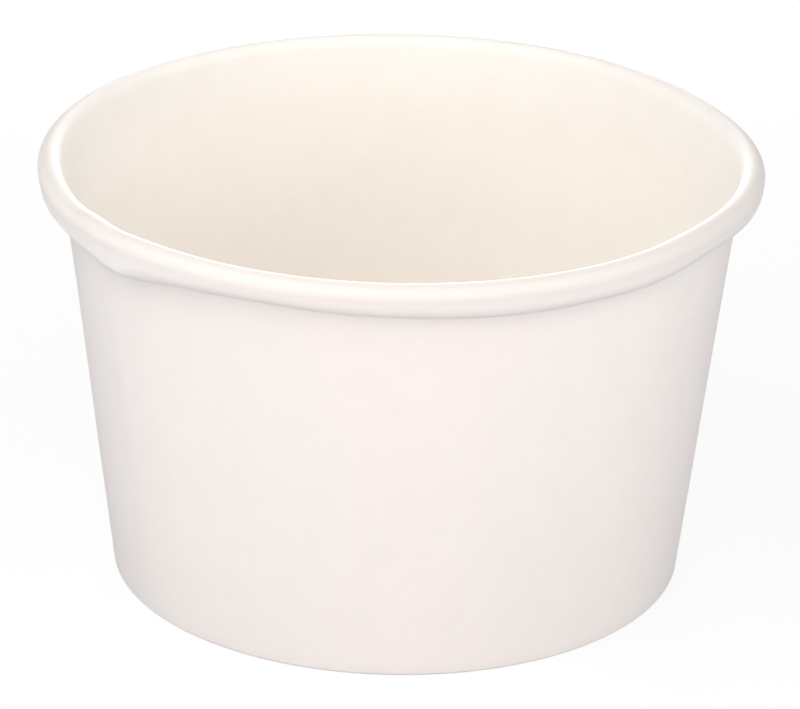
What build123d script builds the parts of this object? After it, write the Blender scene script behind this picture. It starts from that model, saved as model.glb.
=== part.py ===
"""Paper sundae cup: a side wall wrapped from one blank, and a bottom disc clamped in its turned-in hem.

Millimetres, +Z up, with the origin on the cup's axis at the plane that it stands on.
"""

import os
from math import acos, atan2, cos, degrees, hypot, pi, radians, sin

from build123d import *

# Overall sizes
rim_diameter = 92.0
base_diameter = 73.4
cup_height = 55.7

# Paperboard
wall_board = 0.35
floor_board = 0.3

# Rolled rim: inside radius of the curl at the seam, straight side, tucked end, and slit beside the wall
curl_radius = 0.62
roll_flank = 1.3
curl_tuck = 0.8
curl_slit = 0.15

# Base: raised floor, its bend, the hem turned up inside, and the sealing film on each side of the skirt
floor_height = 7.0
floor_bend_radius = 0.5
hem_height = 5.0
seal_film = 0.03

# Side seam: the bearing of its inner cut edge, the glued lap, and the run over which the top layer climbs
seam_bearing = 219.0
seam_lap = 7.0
seam_climb = 9.0
climb_sections = 7

# The seam is pressed flat at the foot and opens to its full thickness over a short rise
press_height = 1.5
press_rise = 1.0

# The crown of the roll, which has room for two boards and for the curl's end beside the wall
crown_radius = curl_radius + 2 * wall_board + (wall_board + curl_slit) / 2
curl_end_radius = crown_radius - (wall_board + curl_slit) / 2
crown_centre = Vector(rim_diameter / 2 - crown_radius, cup_height - crown_radius)

# The outer face runs straight from the foot to a tangent on the crown, which sets the wall's lean
foot_run = crown_centre.X - base_diameter / 2
tangent_angle = acos((crown_radius - wall_board) / hypot(foot_run, crown_centre.Y))
wall_lean = tangent_angle - atan2(crown_centre.Y, foot_run)
up_wall = Vector(sin(wall_lean), cos(wall_lean))
out_of_wall = Vector(cos(wall_lean), -sin(wall_lean))

# The skirt of the bottom disc fills the slot between the wall and its hem, and stops above the fold
skirt_slot = floor_board + 2 * seal_film
skirt_foot = wall_board + seal_film
mean_radius = (rim_diameter + base_diameter) / 4
lap_angle = degrees(seam_lap / mean_radius)
climb_angle = degrees(seam_climb / mean_radius)


def wall_point(height, offset):
    """The point of the wall at a height, an offset out from its inner face."""
    start = crown_centre + out_of_wall * (offset - crown_radius)
    return start - up_wall * ((start.Y - height) / up_wall.Y)


def half_plane(bearing):
    """The upright plane through the cup's axis at a bearing: x runs outwards and y runs up."""
    angle = radians(bearing)
    return Plane(origin=(0, 0, 0), x_dir=(cos(angle), sin(angle), 0), z_dir=(sin(angle), -cos(angle), 0))


def curled_face(pressed, offset):
    """One face of the sheet above the foot: up the wall, over the crown, down the flank and round the curl."""
    foot = wall_point(press_height, pressed)
    shoulder = wall_point(press_height + press_rise, offset)
    half_rise = up_wall * (press_rise / 2)
    opening = Bezier(foot, foot + half_rise, shoulder - half_rise, shoulder)
    wall = Line(shoulder, crown_centre - out_of_wall * (crown_radius - offset))
    crown = JernArc(wall @ 1, up_wall, crown_radius - offset, -180)
    flank = Line(crown @ 1, crown @ 1 - up_wall * roll_flank)
    curl_end = JernArc(flank @ 1, -up_wall, curl_end_radius - offset, -180)
    tuck = Line(curl_end @ 1, curl_end @ 1 + up_wall * curl_tuck)
    return opening @ 0, tuck @ 1


def wall_section(bearing, *lifts):
    """The side wall's section above the foot at a bearing, with one board at each lift off the inner face."""
    with BuildSketch(half_plane(bearing)) as section:
        for lift in lifts:
            with BuildLine():
                inner_foot, inner_tuck = curled_face(0, lift)
                outer_foot, outer_tuck = curled_face(wall_board, lift + wall_board)
                Line(inner_foot, outer_foot)
                Line(inner_tuck, outer_tuck)
            make_face()
    return section.sketch


with BuildPart() as side_wall:
    # The foot: the hem turned up inside, folded sharp round the skirt, and the bottom of the wall
    with BuildSketch(Plane.XZ):
        with BuildLine():
            inner = Polyline(
                wall_point(hem_height, -skirt_slot),
                wall_point(wall_board, -skirt_slot),
                wall_point(wall_board, 0),
                wall_point(press_height, 0),
            )
            outer = FilletPolyline(
                wall_point(hem_height, -skirt_slot - wall_board),
                wall_point(0, -skirt_slot - wall_board),
                wall_point(0, wall_board),
                wall_point(press_height, wall_board),
                radius=wall_board,
            )
            Line(inner @ 0, outer @ 0)
            Line(inner @ 1, outer @ 1)
        make_face()
    revolve(axis=Axis.Z)

    # One board, from where the sheet has come down off the seam round to the inner cut edge
    revolve(wall_section(seam_bearing + climb_angle, 0), axis=Axis.Z, revolution_arc=360 - climb_angle)

    # The climb, an eased rise by one board's thickness
    climb = []
    for step in range(climb_sections):
        along = step / (climb_sections - 1)
        rise = wall_board * (1 + cos(pi * along)) / 2
        climb.append(wall_section(seam_bearing + climb_angle * along, rise))
    loft(climb)

    # The glued lap, two boards thick, back to the outer cut edge
    lap = wall_section(seam_bearing - lap_angle, 0, wall_board)
    revolve(lap, axis=Axis.Z, revolution_arc=lap_angle)
side_wall.part.label = "side_wall"

with BuildPart() as bottom_disc:
    with BuildSketch(Plane.XZ):
        with BuildLine():
            # The upper face and the skirt's outer face, beside the wall
            upper = FilletPolyline(
                (0, floor_height),
                wall_point(floor_height, -seal_film),
                wall_point(skirt_foot, -seal_film),
                radius=floor_bend_radius,
            )
            # The under face and the skirt's inner face, beside the hem, with a sharp fold between them
            under = Polyline(
                (0, floor_height - floor_board),
                wall_point(floor_height - floor_board, -seal_film - floor_board),
                wall_point(skirt_foot, -seal_film - floor_board),
            )
            Line(upper @ 0, under @ 0)
            Line(upper @ 1, under @ 1)
        make_face()
    revolve(axis=Axis.Z)
bottom_disc.part.label = "bottom_disc"

os.makedirs("parts", exist_ok=True)
export_step(side_wall.part, "parts/side_wall.step")
export_step(bottom_disc.part, "parts/bottom_disc.step")
print(f"roll {2 * crown_radius:.2f} mm wide, wall leans {degrees(wall_lean):.2f} degrees")
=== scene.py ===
# %% [markdown]
# # A paper sundae cup
# The cup is two pieces of board. One long strip is wrapped into a tapered wall, lapped and sealed down its side,
# curled outwards at the top and folded up inside at the foot. A disc with its edge bent down is clamped in that fold.
# This lesson dresses the CAD model of the cup: it makes both pieces again as fine sheets, with the small unevenness
# that a rolled rim has, and gives them the finishes of coated board.

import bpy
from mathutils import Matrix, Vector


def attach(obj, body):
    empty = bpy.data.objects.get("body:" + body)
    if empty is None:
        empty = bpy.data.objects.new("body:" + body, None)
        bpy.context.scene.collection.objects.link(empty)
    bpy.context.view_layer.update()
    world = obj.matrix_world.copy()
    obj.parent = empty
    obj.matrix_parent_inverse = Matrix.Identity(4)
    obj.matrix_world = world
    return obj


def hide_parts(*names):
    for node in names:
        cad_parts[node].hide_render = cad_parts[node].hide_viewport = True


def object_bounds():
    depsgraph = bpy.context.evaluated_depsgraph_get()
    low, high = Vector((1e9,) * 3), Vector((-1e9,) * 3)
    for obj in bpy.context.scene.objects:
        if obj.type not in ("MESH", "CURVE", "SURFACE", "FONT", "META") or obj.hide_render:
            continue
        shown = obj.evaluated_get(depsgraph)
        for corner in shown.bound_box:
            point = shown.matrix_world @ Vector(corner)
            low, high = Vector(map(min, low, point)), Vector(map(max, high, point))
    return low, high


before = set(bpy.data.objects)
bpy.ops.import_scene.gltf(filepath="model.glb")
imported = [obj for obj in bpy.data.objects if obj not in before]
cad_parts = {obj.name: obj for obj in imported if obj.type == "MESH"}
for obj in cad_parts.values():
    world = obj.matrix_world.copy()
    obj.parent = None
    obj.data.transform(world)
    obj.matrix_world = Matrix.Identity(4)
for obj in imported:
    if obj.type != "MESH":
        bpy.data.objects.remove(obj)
cad_box = [list(corner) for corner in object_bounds()]

import bpy
import numpy as np
from mathutils import Matrix, Vector

print("CAD box, metres:", cad_box)

# %% [markdown]
# ## The sizes that shape the sheet
# The overall sizes come from the CAD model's box, and the rest repeat the CAD source, in millimetres. The wall's inner
# face is tangent to the crown of the rolled rim, so the rim, the base and the height together fix the wall's lean.

# %% Sizes in millimetres
METRE = 1000.0
rim_radius = cad_box[1][0] * METRE
cup_height = cad_box[1][2] * METRE
base_radius = 36.7
board = 0.35
floor_board = 0.3
seal_film = 0.03
skirt_slot = floor_board + 2 * seal_film
crown_radius = 1.57
curl_end_radius = 1.32
curl_tuck = 0.8

crown_r = rim_radius - crown_radius
crown_z = cup_height - crown_radius
foot_run = crown_r - base_radius
tangent_angle = np.arccos((crown_radius - board) / np.hypot(foot_run, crown_z))
wall_lean = tangent_angle - np.arctan2(crown_z, foot_run)
up_wall = np.array([np.sin(wall_lean), np.cos(wall_lean)])
out_of_wall = np.array([np.cos(wall_lean), -np.sin(wall_lean)])
print("rim radius", rim_radius, "height", cup_height, "lean in degrees", np.degrees(wall_lean))

# %% [markdown]
# ## Where the sheet starts and ends
# The strip goes once round the cup and a little further, so that its first edge lies over its last one. A bearing
# says where on the turn we are, in degrees round the cup's axis. The first edge is on the outside, and the sheet comes
# down from it by one board's thickness, an eased climb that shows on a real cup as a soft slope beside the seam.
# The columns of the grid are closer together at the seam, because that is where the shape changes quickly.

# %% Columns of the grid and the lift of the top layer
seam_bearing = 219.0
lap_angle = 9.7
climb_angle = 12.47
first_edge = seam_bearing - lap_angle
last_edge = seam_bearing + 360.0
first_press, first_thinned = 9.7, 0.96
last_press, last_thinned = 7.0, 0.96
glue_line = 0.01


def eased(value):
    """A smooth step: three times the square less twice the cube, of a value held between 0 and 1."""
    held = np.clip(value, 0.0, 1.0)
    return held * held * (3.0 - 2.0 * held)


def sheet_thickness(bearing):
    """The board's thickness, thinned in an eased run to each cut edge, further than real jaws press it."""
    from_first = eased((bearing - first_edge) / first_press)
    from_last = eased((last_edge - bearing) / last_press)
    return board * (1.0 - first_thinned * (1.0 - from_first)) * (1.0 - last_thinned * (1.0 - from_last))


def seam_lift(bearing):
    """Over the lap, the thickness of the layer below. Beside it, down to nothing along half a cosine wave."""
    along = np.clip((bearing - seam_bearing) / climb_angle, 0.0, 1.0)
    below = sheet_thickness(np.minimum(bearing, seam_bearing) + 360.0) + glue_line
    return below * (1.0 + np.cos(np.pi * along)) / 2.0


def foot_squeeze(bearing):
    """One board's thickness over that of the whole stack at a bearing, where the last stretch lies under the first."""
    top = np.where(bearing > first_edge + 360.0, bearing - 360.0, bearing)
    return board / (seam_lift(top) + sheet_thickness(top))


seam_step, plain_step = 0.45, 1.0
last_run, last_columns = 25.0, 51
seam_columns = np.arange(first_edge, seam_bearing + climb_angle, seam_step)
plain_columns = np.arange(seam_bearing + climb_angle, last_edge - last_run, plain_step)
end_columns = np.linspace(last_edge - last_run, last_edge, last_columns)
bearings = np.concatenate([seam_columns, plain_columns, end_columns])[:, None]
print("columns round the cup:", len(bearings))

# %% [markdown]
# ## The unevenness of a real rim
# A curling tool rolls the rim in one stroke, and it never comes out quite even. Where the doubled board of the seam
# goes into the curl, the roll is taller and the rim sags. Left of the seam the roll's end is pinched in, so its lower
# edge runs straight down to a corner, the kink at the front left of the photographed cup. On the right the rim sits a
# little further in. Each such place is a bell-shaped bump over the bearing, and the unevenness is their sum. In all the
# rim only goes down and inwards, because the sizes of the cup are set by the CAD model. A bump is listed with its
# bearing, its half width in degrees and its height in millimetres.

# %% Bumps over the bearing
rim_sags = [(207.0, 13.0, 0.75), (212.0, 4.0, -0.3)]
rim_dents = [(208.0, 8.0, 0.35), (326.0, 14.0, 0.6), (30.0, 20.0, 0.8)]
flank_bumps = [
    (190.0, 7.0, 0.5),
    (203.0, 6.0, -0.45),
    (216.5, 5.0, -0.35),
    (220.0, 10.0, 1.1),
    (226.0, 6.0, 0.35),
    (248.0, 10.0, -0.35),
    (288.0, 14.0, 0.35),
    (316.0, 11.0, 0.42),
    (326.0, 12.0, -0.45),
]
plain_flank = 1.3
pinched_by = 0.45
pinch_start, pinch_run = 190.0, 14.0
kink_start, kink_run = 221.0, 4.0
tapered_share = 0.5


def bumps(bearing, places):
    """A sum of bells, each its height times e to the minus square of the angle from its bearing over its half width."""
    total = np.zeros_like(bearing)
    for centre, half_width, height in places:
        apart = (bearing - centre + 180.0) % 360.0 - 180.0
        total = total + height * np.exp(-((apart / half_width) ** 2))
    return total


wrapped = (bearings - 180.0) % 360.0 + 180.0
going_in = eased((wrapped - pinch_start) / pinch_run)
coming_out = eased((wrapped - kink_start) / kink_run)
pinch = pinched_by * going_in * (1.0 - coming_out)
end_radius = curl_end_radius - pinch
flank = plain_flank + bumps(bearings, flank_bumps) + pinch
end_taper = tapered_share * flank * (1.0 - pinch / pinched_by)
print("roll's side runs from", flank.min(), "to", flank.max())

# %% [markdown]
# ## The section of the sheet
# Both faces of the sheet follow the same route at a constant distance from each other: up the hem, round the fold,
# up the wall, over the crown, down the side of the roll and round into its end, half an oval. A face is worked out for
# all bearings at once, as an array with a row of points for each bearing. Every leg of the route has a fixed number of
# points, so that the two faces match point for point and can be joined along their cut edges. At the foot the stack of
# layers is squeezed to one board's thickness, and up the wall it opens again. The top of the wall follows the rim.

# %% The legs of the route
press_height = 0.5
press_rise = 9.0
hem_height = 5.0
least_reach = 0.04
pull_start, pull_run = 40.0, 13.0
hem_count, fold_count, sole_count, wall_count = 6, 5, 2, 36
crown_count, flank_count, end_count, tuck_count = 18, 5, 14, 4
roll_count = crown_count + flank_count + end_count + tuck_count


def wall_point(height, offset):
    """The wall's point at a height and an offset out from its inner face: back down the slope from the crown."""
    start_r = crown_r + out_of_wall[0] * (offset - crown_radius)
    start_z = crown_z + out_of_wall[1] * (offset - crown_radius)
    slope = up_wall[0] / up_wall[1]
    return np.stack(np.broadcast_arrays(start_r - slope * (start_z - height), height), -1)


def straight(start, end, count):
    """Points from start to just before end, evenly spaced."""
    share = np.linspace(0.0, 1.0, count, endpoint=False)[None, :, None]
    return start + (end - start) * share


def corner(before, point, after, count):
    """A rounded corner: the quadratic curve from before to after that is pulled towards the corner point."""
    share = np.linspace(0.0, 1.0, count, endpoint=False)[None, :, None]
    return (1 - share) ** 2 * before + 2 * share * (1 - share) * point + share**2 * after


def half_turn(centre, wide, deep, first, second, count):
    """Half an oval about a centre: its width times the cosine of the angle, and its depth times the sine."""
    angle = np.linspace(0.0, np.pi, count, endpoint=False)[None, :, None]
    return centre + wide * np.cos(angle) * first + deep * np.sin(angle) * second


def sheet_face(offset, squeeze):
    """One face of the sheet, an offset from the food side: its points, and the share of the rim's sag each takes."""
    columns = np.ones_like(offset)
    foot_offset = offset * squeeze
    hem_offset = -skirt_slot - foot_offset
    fold_height = board - foot_offset
    fold_reach = np.maximum(foot_offset, least_reach)[..., None]
    along_floor = fold_reach * np.array([1.0, 0.0])
    hem_top = wall_point(hem_height * columns, hem_offset)
    hem_corner = wall_point(fold_height, hem_offset)
    wall_corner = wall_point(fold_height, foot_offset)
    hem_foot = hem_corner + up_wall * fold_reach
    wall_foot = wall_corner + up_wall * fold_reach
    legs = [
        straight(hem_top, hem_foot, hem_count),
        corner(hem_foot, hem_corner, hem_corner + along_floor, fold_count),
        straight(hem_corner + along_floor, wall_corner - along_floor, sole_count),
        corner(wall_corner - along_floor, wall_corner, wall_foot, fold_count),
    ]

    # Up the wall, the seam opens from its pressed foot to its full thickness
    tangent = crown_z + out_of_wall[1] * (offset - crown_radius)
    foot = wall_foot[..., 1]
    heights = foot + (tangent - foot) * np.linspace(0.0, 1.0, wall_count, endpoint=False)[None, :]
    opening = eased((heights - press_height) / press_rise)
    legs.append(wall_point(heights, foot_offset + (offset - foot_offset) * opening))

    # The roll: crown, straight side, end and tuck
    crown = np.array([crown_r, crown_z])
    reach = (crown_radius - offset)[..., None]
    end_reach = (end_radius - offset)[..., None]
    drop = (flank - end_taper)[..., None] * up_wall
    end_centre = crown + (crown_radius - end_radius)[..., None] * out_of_wall - drop
    tuck_foot = end_centre - end_reach * out_of_wall
    end_depth = end_reach + end_taper[..., None]
    tuck_share = np.linspace(0.0, 1.0, tuck_count)[None, :, None]
    legs.append(half_turn(crown, reach, reach, -out_of_wall, up_wall, crown_count))
    legs.append(straight(crown + reach * out_of_wall, crown + reach * out_of_wall - drop, flank_count))
    legs.append(half_turn(end_centre, end_reach, end_depth, out_of_wall, -up_wall, end_count))
    legs.append(tuck_foot + curl_tuck * tuck_share * up_wall)
    foot_share = np.zeros((len(offset), hem_count + 2 * fold_count + sole_count))
    wall_share = eased((heights - pull_start) / pull_run)
    roll_share = np.ones((len(offset), roll_count))
    return np.concatenate(legs, 1), np.concatenate([foot_share, wall_share, roll_share], 1)


lift = seam_lift(bearings)
squeeze = foot_squeeze(bearings)
food_face, food_share = sheet_face(lift, squeeze)
print_face, print_share = sheet_face(lift + sheet_thickness(bearings), squeeze)
print("points along each face:", food_face.shape[1])

# %% [markdown]
# ## From section to cup
# The sag and the dents move the rim and the top of the wall under it. The wall itself is never a perfect cone either:
# a few long waves, a few hundredths of a millimetre high, are enough for the light to run unevenly over it. Both faces
# get the same movement, so the board keeps its thickness. Then each point is carried to its bearing. A wave is listed
# with its count round the cup, its height and its start, and it slants, because it also turns with the height.

# %% Carry the section round
wall_waves = [(2, 0.05, 0.4), (3, 0.035, 2.1), (5, 0.02, 4.0)]
wave_slant = 14.0
belly_start, belly_run = 9.0, 12.0
shoulder_start, shoulder_run = 40.0, 11.0


def uneven(section, share):
    """Moves a face: the rim down by its sags and in by its dents, and the wall by a sum of slow waves."""
    radius, height = section[..., 0], section[..., 1]
    turn = np.radians(bearings)
    waves = sum(high * np.cos(count * turn + start + height / wave_slant) for count, high, start in wall_waves)
    belly = eased((height - belly_start) / belly_run) * (1.0 - eased((height - shoulder_start) / shoulder_run))
    moved_r = radius - share * bumps(bearings, rim_dents) + belly * waves
    moved_z = height - share * bumps(bearings, rim_sags)
    return np.stack([moved_r * np.cos(turn), moved_r * np.sin(turn), moved_z], -1)


food_points = uneven(food_face, food_share)
print_points = uneven(print_face, print_share)
crown_tops = food_points[..., 2].max(1)
print("the rim's crown is from", crown_tops.min(), "to", crown_tops.max(), "mm high")

# %% [markdown]
# ## Joining the two faces into a sheet
# A face of the sheet is a grid of quads. The two grids share no points, so strips of quads close the board along the
# hem's edge, the curl's edge and the two cut edges of the seam. Each group of quads takes its own finish: the coated
# food side, the smooth outer side, or the bare cut edge. The UV map unrolls the sheet, one unit to a millimetre: the
# way round the cup is u, and the way along the section is v.

# %% Grids, strips and meshes
sharp_angle = np.radians(50.0)


def grid_quads(index):
    """The quads of a grid of point numbers: each point, the next one along, the one diagonally over, the one beside."""
    corners = [index[:-1, :-1], index[:-1, 1:], index[1:, 1:], index[1:, :-1]]
    return np.stack(corners, -1).reshape(-1, 4)


def make_mesh(name, points, face_groups, finish_numbers, unrolled, finishes):
    """A mesh object from points in millimetres, groups of faces, a finish for each group and a flat map."""
    corners = np.concatenate([group.ravel() for group in face_groups])
    numbers = np.repeat(finish_numbers, [len(group) for group in face_groups])
    mesh = bpy.data.meshes.new(name)
    mesh.from_pydata(points / METRE, [], [face for group in face_groups for face in group.tolist()])
    mesh.polygons.foreach_set("material_index", numbers.astype(np.int32))
    mesh.polygons.foreach_set("use_smooth", np.ones(len(numbers), bool))
    mesh.uv_layers.new(name="unrolled").data.foreach_set("uv", unrolled[corners].astype(np.float32).ravel())
    for finish in finishes:
        mesh.materials.append(finish)
    mesh.set_sharp_from_angle(angle=sharp_angle)
    piece = bpy.data.objects.new(name, mesh)
    bpy.context.scene.collection.objects.link(piece)
    return piece


def along_section(section):
    """The distance walked along each row of points, starting from nothing."""
    steps = np.linalg.norm(np.diff(section, axis=1), axis=-1)
    return np.concatenate([np.zeros((len(section), 1)), np.cumsum(steps, 1)], 1)


column_count, row_count = food_face.shape[:2]
food_index = np.arange(column_count * row_count).reshape(column_count, row_count)
print_index = food_index + food_index.size
food_quads = grid_quads(food_index)
print_quads = grid_quads(print_index)[:, ::-1]
hem_edge = grid_quads(np.stack([print_index[:, 0], food_index[:, 0]], 1))
curl_edge = grid_quads(np.stack([food_index[:, -1], print_index[:, -1]], 1))
first_cut = grid_quads(np.stack([print_index[0], food_index[0]], 0))
last_cut = grid_quads(np.stack([food_index[-1], print_index[-1]], 0))
cut_quads = np.concatenate([hem_edge, curl_edge, first_cut, last_cut])
around = np.broadcast_to(np.radians(bearings) * base_radius, food_face.shape[:2])
unrolled_sheet = np.concatenate(
    [np.stack([around, along_section(face)], -1).reshape(-1, 2) for face in (food_face, print_face)]
)
roll_start = along_section(food_face)[0, row_count - roll_count]
sheet_points = np.concatenate([food_points.reshape(-1, 3), print_points.reshape(-1, 3)])
print("quads of the side wall:", len(food_quads) + len(print_quads) + len(cut_quads))

# %% [markdown]
# ## Shader maths as Python
# A finish is a tree of nodes. To keep the recipes readable, a small class wraps one output socket, and arithmetic on
# it adds the Math nodes. Every other node comes from one method, which sets the node's settings first and then its
# sockets, by value or by link.


# %% A socket that can be added and multiplied
class Strand:
    """One output of a node tree; sums and products of strands become Math nodes."""

    def __init__(self, socket):
        self.socket = socket
        self.tree = socket.id_data

    @staticmethod
    def node(tree, kind, settings=None, inputs=None):
        """Adds a node of a kind, sets its settings, then fills its sockets by name or number."""
        made = tree.nodes.new(kind)
        for name, value in (settings or {}).items():
            setattr(made, name, value)
        for name, value in (inputs or {}).items():
            if isinstance(value, Strand):
                tree.links.new(value.socket, made.inputs[name])
            else:
                made.inputs[name].default_value = value
        return made

    def maths(self, operation, first, second):
        """A Math node with one operation on two values."""
        made = Strand.node(self.tree, "ShaderNodeMath", {"operation": operation}, {0: first, 1: second})
        return Strand(made.outputs[0])

    def __add__(self, other):
        return self.maths("ADD", self, other)

    def __sub__(self, other):
        return self.maths("SUBTRACT", self, other)

    def __rsub__(self, other):
        return self.maths("SUBTRACT", other, self)

    def __mul__(self, other):
        return self.maths("MULTIPLY", self, other)

    __radd__ = __add__
    __rmul__ = __mul__


def linear(red, green, blue):
    """A colour on a 0 to 255 scale, made linear: the power law of the sRGB curve above its toe."""
    shares = np.array([red, green, blue]) / 255.0
    return (*(((shares + 0.055) / 1.055) ** 2.4).tolist(), 1.0)


print("shader maths ready; half of full white is", linear(128, 128, 128))

# %% [markdown]
# ## Coated board
# Cup board is a bleached pulp sheet with a thin plastic film on the food side and a smooth clay finish outside. Held
# to the light it is cloudy, because the fibres clump a few millimetres across, and close up it shows short fibres and
# the faint pebble of the film. The clouds tint the colour by a percent or two and change the gloss. The fibres and the
# pebble are relief a few thousandths of a millimetre high. A pattern on Object coordinates runs through the sheet
# with no seam, and the fibres use the unrolled map, because they lie along the strip. The roll is kept darker than the
# inside with painted shade: the food side takes one darker tint over the crown and another down the side, by the way
# along the strip. All the tints were fitted to the photograph together with the lamps.

# %% Helpers for the finishes
cloud_size, clump_size, fibre_size = 4.5, 0.9, 0.28
fibre_lie = (0.35, 1.6, 1.0)
fleck_low, fleck_high = 0.62, 0.78
cloud_tint, clump_tint, fleck_tint = 0.6, 0.25, 0.3
tint_low, tint_high = 0.25, 0.75
cloud_gloss, fleck_gloss = 0.16, 0.06
crown_from, crown_to = 1.0, 1.9
side_from, side_to = 3.4, 4.9


def noise(tree, vector, size, detail, roughness=0.5):
    """Cloudy noise whose clumps are about the given size in millimetres."""
    sockets = {"Vector": vector, "Scale": 1.0 / size, "Detail": detail, "Roughness": roughness}
    return Strand(Strand.node(tree, "ShaderNodeTexNoise", {}, sockets).outputs[0])


def stretched(tree, vector, scale):
    """The same coordinates, multiplied along each axis."""
    made = Strand.node(tree, "ShaderNodeVectorMath", {"operation": "MULTIPLY"}, {0: vector, 1: scale})
    return Strand(made.outputs[0])


def tinted(tree, share, first, second):
    """A colour between two, by share."""
    made = Strand.node(tree, "ShaderNodeMix", {"data_type": "RGBA"}, {0: share, 6: first, 7: second})
    return Strand(made.outputs[2])


def ranged(tree, value, low, high):
    """A value's run from low to high, spread over 0 to 1 and held there."""
    sockets = {"Value": value, "From Min": low, "From Max": high}
    return Strand(Strand.node(tree, "ShaderNodeMapRange", {"clamp": True}, sockets).outputs[0])


def coated_board(name, light, dark, roughness, shine, pebble, fibre, roll_painted_shade=None):
    """A board finish: two tints for its clouds, its gloss, its relief in millimetres, and painted shade for a roll."""
    finish = bpy.data.materials.new(name)
    finish.use_nodes = True
    tree = finish.node_tree
    tree.nodes.clear()
    place = Strand.node(tree, "ShaderNodeTexCoord")
    millimetres = stretched(tree, Strand(place.outputs["Object"]), (METRE, METRE, METRE))
    strip = Strand(place.outputs["UV"])
    clouds = noise(tree, millimetres, cloud_size, 3.0, 0.55)
    clumps = noise(tree, millimetres, clump_size, 2.0)
    fibres = noise(tree, stretched(tree, strip, fibre_lie), fibre_size, 2.0)
    flecks = ranged(tree, fibres, fleck_low, fleck_high)
    mottle = clouds * cloud_tint + clumps * clump_tint + flecks * fleck_tint
    colour = tinted(tree, ranged(tree, mottle, tint_low, tint_high), light, dark)
    # Painted shade on the roll: a darker tint over the crown and a lighter one down its side, by the way along the
    # strip
    if roll_painted_shade:
        along = Strand(Strand.node(tree, "ShaderNodeSeparateXYZ", {}, {0: strip}).outputs[1])
        crown_painted_shade, side_painted_shade = roll_painted_shade
        over_crown = ranged(tree, along, roll_start + crown_from, roll_start + crown_to)
        past_crown = ranged(tree, along, roll_start + side_from, roll_start + side_to)
        colour = tinted(tree, over_crown, colour, tinted(tree, past_crown, crown_painted_shade, side_painted_shade))
    relief = clumps * pebble + fibres * fibre
    bump = Strand.node(tree, "ShaderNodeBump", {}, {"Strength": 1.0, "Distance": 1.0 / METRE, "Height": relief})
    sockets = {
        "Base Color": colour,
        "Roughness": roughness + (clouds - 0.5) * cloud_gloss + flecks * fleck_gloss,
        "Normal": Strand(bump.outputs[0]),
        "Specular IOR Level": shine,
    }
    shader = Strand.node(tree, "ShaderNodeBsdfPrincipled", {}, sockets)
    Strand.node(tree, "ShaderNodeOutputMaterial", {}, {"Surface": Strand(shader.outputs[0])})
    return finish


food_side = coated_board(
    "coated_food_side",
    light=linear(254, 250, 243),
    dark=linear(251, 245, 237),
    roughness=0.5,
    shine=0.3,
    pebble=0.006,
    fibre=0.004,
    # painted shade: darker over the roll's crown, a little less dark down its side
    roll_painted_shade=(linear(233, 225, 217), linear(243, 236, 231)),
)
outer_side = coated_board(
    "smooth_outer_side",
    light=linear(248, 240, 234),
    dark=linear(244, 236, 229),
    roughness=0.72,
    shine=0.25,
    pebble=0.003,
    fibre=0.006,
)
print("finishes:", food_side.name, outer_side.name)

# %% [markdown]
# ## Bare cut edges
# Where the blank was cut, the board shows its plies: a matt, fibrous edge a shade browner than the faces. The plies
# are too thin to model, so they are bands of noise, and the relief is deeper than on the faces.

# %% The cut edge
cut_edge = coated_board(
    "bare_cut_edge",
    light=linear(246, 237, 227),
    dark=linear(236, 225, 211),
    roughness=0.85,
    shine=0.2,
    pebble=0.02,
    fibre=0.02,
)
print("finish:", cut_edge.name)

# %% [markdown]
# ## The side wall
# The sheet replaces the CAD solid of the same name. It rides on the cup's one body.

# %% Make the side wall
board_finishes = [food_side, outer_side, cut_edge]
sheet_groups = [food_quads, print_quads, cut_quads]
side_wall = make_mesh("side_wall_sheet", sheet_points, sheet_groups, [0, 1, 2], unrolled_sheet, board_finishes)
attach(side_wall, "root")
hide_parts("side_wall")
print("side wall:", len(side_wall.data.polygons), "faces")

# %% [markdown]
# ## The bottom disc
# The disc is a shallow cup turned upside down: a round floor whose edge is bent down into a skirt. Its section is
# carried round the axis. The floor of a real cup is not quite flat, because the film shrinks as it cools, so it is
# dished by a tenth of a millimetre. The middle is closed with one fan of triangles on each face.

# %% Make the bottom disc
floor_height = 7.0
floor_bend_radius = 0.5
floor_dish = 0.12
dish_radius = 34.0
fan_radius = 1.0
skirt_foot = board + seal_film
disc_columns = 240
floor_count, bend_count, skirt_count = 26, 8, 8
disc_turn = np.linspace(0.0, 2 * np.pi, disc_columns, endpoint=False)[:, None]


def disc_face(offset, top, bend):
    """One face of the disc: out along the floor, round the bend and down the skirt, an offset in from the wall."""
    edge = wall_point(np.array([[top]]), offset)
    start = np.array([[[fan_radius, top]]])
    bend_start = edge - np.array([bend, 0.0])
    bend_end = edge - up_wall * bend
    foot = wall_point(np.array([[skirt_foot]]), offset)
    legs = [
        straight(start, bend_start, floor_count),
        corner(bend_start, edge, bend_end, bend_count),
        straight(bend_end, foot, skirt_count),
        foot,
    ]
    return np.concatenate(legs, 1)[0]


def turned(section, top):
    """A section carried round the axis, and a middle point: the floor is dished by 1 less the square of the radius."""
    dish = floor_dish * np.clip(1.0 - (section[:, 0] / dish_radius) ** 2, 0.0, 1.0)
    rings = [section[:, 0] * np.cos(disc_turn), section[:, 0] * np.sin(disc_turn), section[:, 1] - dish]
    points = np.stack(np.broadcast_arrays(*rings), -1).reshape(-1, 3)
    return np.concatenate([points, [[0.0, 0.0, top - floor_dish]]])


def turned_faces(first, rows):
    """A face's point numbers, counted from the first, its quads round the axis, and the fan that closes its middle."""
    index = first + np.arange(disc_columns * rows).reshape(-1, rows)
    ring = np.concatenate([index, index[:1]])
    middle = np.full(disc_columns, index[-1, -1] + 1)
    return ring, grid_quads(ring), np.stack([middle, ring[:-1, 0], ring[1:, 0]], 1)


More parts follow.
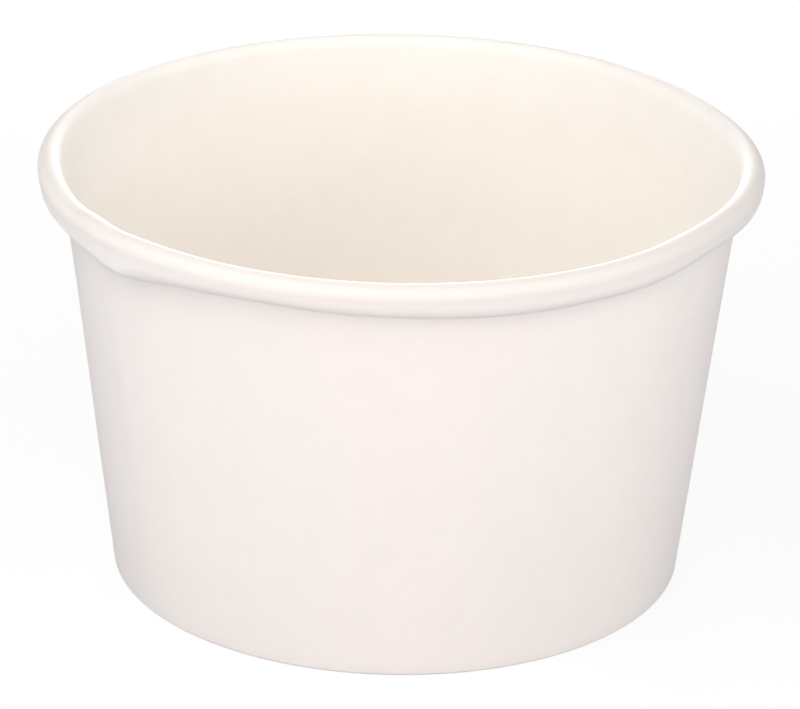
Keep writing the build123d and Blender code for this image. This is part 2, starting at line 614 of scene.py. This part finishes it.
under_height = floor_height - floor_board
upper_face = disc_face(-seal_film, floor_height, floor_bend_radius)
under_face = disc_face(-seal_film - floor_board, under_height, floor_bend_radius - floor_board)
upper_points = turned(upper_face, floor_height)
disc_points = np.concatenate([upper_points, turned(under_face, under_height)])
upper_ring, upper_quads, upper_fan = turned_faces(0, len(upper_face))
under_ring, under_quads, under_fan = turned_faces(len(upper_points), len(under_face))
skirt_edge = grid_quads(np.stack([upper_ring[:, -1], under_ring[:, -1]], 1))
disc_groups = [upper_quads, upper_fan, under_quads[:, ::-1], under_fan[:, ::-1], skirt_edge]
disc_map = disc_points[:, :2]
bottom_disc = make_mesh("bottom_disc_sheet", disc_points, disc_groups, [0, 0, 1, 1, 2], disc_map, board_finishes)
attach(bottom_disc, "root")
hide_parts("bottom_disc")
print("bottom disc:", len(bottom_disc.data.polygons), "faces")

# %% [markdown]
# ## Floor and background
# The cup stands on a plain pale floor under a white surround. The floor is a wide sheet of matt white, and camera rays
# see it mostly as plain white, so that it meets the background without a line and still keeps the cup's soft shadow.
# Rays that carry light meet a greyer floor, which keeps its glow off the cup.

# %% The floor
full_white = (1.0, 1.0, 1.0, 1.0)
white_share = 0.85
floor_half = 3.0


def seen_rays(tree):
    """1 for a ray that shows a surface to the camera, straight, in a gloss or through a glass, and 0 for the others."""
    path = Strand.node(tree, "ShaderNodeLightPath")
    straight_ray, gloss_ray = Strand(path.outputs["Is Camera Ray"]), Strand(path.outputs["Is Glossy Ray"])
    return straight_ray + gloss_ray + Strand(path.outputs["Is Transmission Ray"])


floor_mesh = bpy.data.meshes.new("studio_floor")
floor_corners = np.array([[-1, -1, 0], [1, -1, 0], [1, 1, 0], [-1, 1, 0]]) * floor_half
floor_mesh.from_pydata(floor_corners, [], [(0, 1, 2, 3)])
studio_floor = bpy.data.objects.new("studio_floor", floor_mesh)
bpy.context.scene.collection.objects.link(studio_floor)
floor_white = bpy.data.materials.new("matt_white_floor")
floor_white.use_nodes = True
tree = floor_white.node_tree
tree.nodes.clear()
seen = seen_rays(tree)
floor_colour = tinted(tree, seen, linear(146, 145, 143), linear(249, 249, 249))
matt = Strand.node(tree, "ShaderNodeBsdfDiffuse", {}, {"Color": floor_colour})
plain = Strand.node(tree, "ShaderNodeEmission", {}, {"Color": full_white, "Strength": 1.0})
sockets = {0: seen * white_share, 1: Strand(matt.outputs[0]), 2: Strand(plain.outputs[0])}
blend = Strand.node(tree, "ShaderNodeMixShader", {}, sockets)
Strand.node(tree, "ShaderNodeOutputMaterial", {}, {"Surface": Strand(blend.outputs[0])})
floor_mesh.materials.append(floor_white)
print("floor", 2 * floor_half, "m square")

# %% [markdown]
# ## The surround
# A white room shows plain white to the camera, and lights the cup from all round at a third of that.

# %% The surround
ambient = 0.325
ambient_white = (1.0, 0.99, 0.985, 1.0)
surround = bpy.data.worlds.new("white_surround")
surround.use_nodes = True
bpy.context.scene.world = surround
tree = surround.node_tree
tree.nodes.clear()
white = Strand.node(tree, "ShaderNodeBackground", {}, {"Color": full_white, "Strength": 1.0})
soft = Strand.node(tree, "ShaderNodeBackground", {}, {"Color": ambient_white, "Strength": ambient})
sockets = {0: seen_rays(tree), 1: Strand(soft.outputs[0]), 2: Strand(white.outputs[0])}
blend = Strand.node(tree, "ShaderNodeMixShader", {}, sockets)
Strand.node(tree, "ShaderNodeOutputWorld", {}, {"Surface": Strand(blend.outputs[0])})
print("surround lights the cup at", ambient)

# %% [markdown]
# ## Soft studio light
# The photograph's light is very soft: the cup's sides are only a tenth darker than its front, and the inside darkens
# slowly with depth. The surround gives some of it. Softboxes in front, on the left and on the right reach down
# into the cup. Four small strips near the floor light the wall under the roll, which would be in its shadow, and they
# hardly reach the inside. The one behind is for other views. The front lamp is warm and the sides are cool, as in the
# photograph.

# %% Softboxes
lamp_aim = Vector((0.0, 0.0, 0.03))
warm = (1.0, 0.91, 0.82)
pale = (0.94, 0.95, 1.0)
cool = (0.82, 0.92, 1.0)
rosy = (1.0, 0.91, 1.0)


def softbox(name, bearing, elevation, distance, size, power, colour):
    """A square lamp facing the cup: degrees round from the front and above the floor, then metres off and across."""
    away, above = np.radians(bearing), np.radians(elevation)
    direction = Vector((np.sin(away) * np.cos(above), -np.cos(away) * np.cos(above), np.sin(above)))
    lamp = bpy.data.lights.new(name, "AREA")
    lamp.size = size
    lamp.energy = power
    lamp.color = colour
    stand = bpy.data.objects.new(name, lamp)
    stand.location = lamp_aim + direction * distance
    stand.rotation_euler = (-direction).to_track_quat("-Z", "Y").to_euler()
    bpy.context.scene.collection.objects.link(stand)
    return stand


lamps = [
    softbox("front_softbox", 0.0, 32.0, 0.42, 0.28, 0.46, warm),
    softbox("left_softbox", -60.0, 30.0, 0.45, 0.3, 0.135, pale),
    softbox("high_left_softbox", -70.0, 55.0, 0.45, 0.3, 0.755, pale),
    softbox("far_right_softbox", 70.0, 30.0, 1.1, 0.9, 3.7, pale),
    softbox("low_left_strip", -50.0, 8.0, 0.24, 0.1, 0.14, cool),
    softbox("low_right_strip", 50.0, 8.0, 0.24, 0.1, 0.12, cool),
    softbox("low_front_strip", 0.0, 2.0, 0.24, 0.04, 0.074, rosy),
    softbox("low_back_strip", 180.0, 4.0, 0.36, 0.12, 0.78, pale),
]
print("lamps:", [lamp.name for lamp in lamps])

# %% [markdown]
# ## The camera
# The photograph looks down on the cup from in front with a long lens. Its height, distance and lens come from fitting
# the rim, the foot and the sides of the cup to their outlines, and the camera is turned about its axis by one degree.

# %% Place the camera
look_down = np.radians(23.205)
distance = 625.5
image_width = 800
focal_pixels = 4857.2
aim = np.array([0.2, 0.0, 27.63])
turn = np.radians(1.0)
eye = np.array([0.0, -distance * np.cos(look_down), distance * np.sin(look_down) + aim[2]])
forward = (aim - eye) / np.linalg.norm(aim - eye)
level = np.cross(forward, [0.0, 0.0, 1.0])
level = level / np.linalg.norm(level)
upright = np.cross(level, forward)
across = level * np.cos(turn) + upright * np.sin(turn)
upwards = upright * np.cos(turn) - level * np.sin(turn)
lens = bpy.data.cameras.new("camera")
lens.sensor_width = 36.0
lens.lens = focal_pixels * lens.sensor_width / image_width
lens.clip_start, lens.clip_end = 0.01, 50.0
camera = bpy.data.objects.new("camera", lens)
axes = np.stack([across, upwards, -forward], 1)
camera.matrix_world = Matrix.Translation(Vector(eye / METRE)) @ Matrix(axes.tolist()).to_4x4()
bpy.context.scene.collection.objects.link(camera)
bpy.context.scene.camera = camera
bpy.context.scene.view_settings.view_transform = "Standard"
print("lens", lens.lens, "mm")

# %% [markdown]
# ## Finish
# The scene is brought up to date at the end. The dressed cup has to stay in the CAD model's box.

# %% Finish
bpy.context.view_layer.update()
